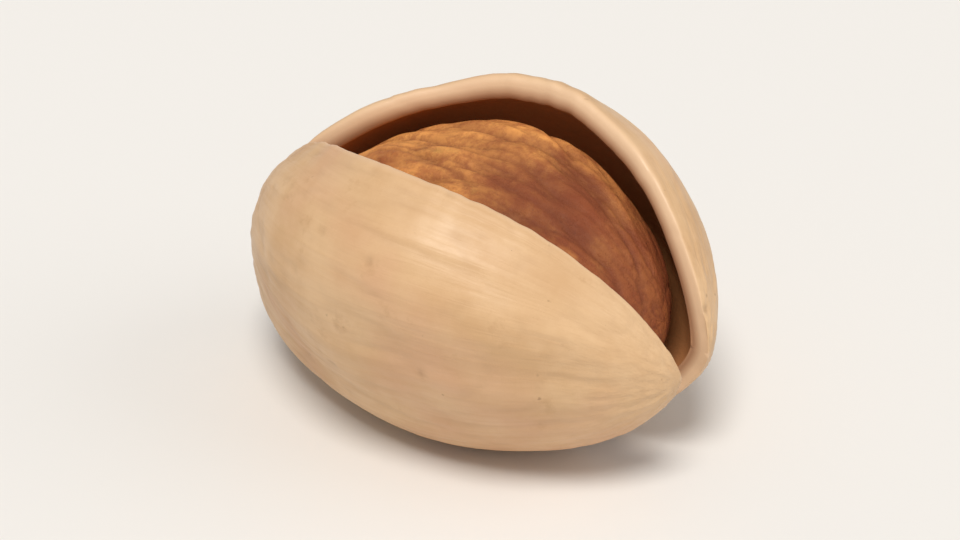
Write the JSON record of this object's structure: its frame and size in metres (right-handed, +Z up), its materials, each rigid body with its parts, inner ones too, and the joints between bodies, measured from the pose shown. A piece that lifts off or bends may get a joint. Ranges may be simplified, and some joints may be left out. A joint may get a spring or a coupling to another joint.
{
  "type": "pistachio in shell",
  "caption": "Pistachio in its split shell: a cupped hard shell, parted along a lens-shaped mouth and at the tip, with the brown-skinned kernel loose inside.",
  "frame": {"origin": "on the resting surface, under the middle of the nut", "axes": "+X from the stem end to the tip, +Y across the two valves, +Z up through the mouth"},
  "size_m": [0.0198, 0.0156, 0.0121],
  "materials": {
    "shell": "smooth, low sheen",
    "kernel skin": "papery, low sheen"
  },
  "bodies": {
    "root": {"shell": "shell", "kernel": "kernel skin"}
  },
  "joints": []
}
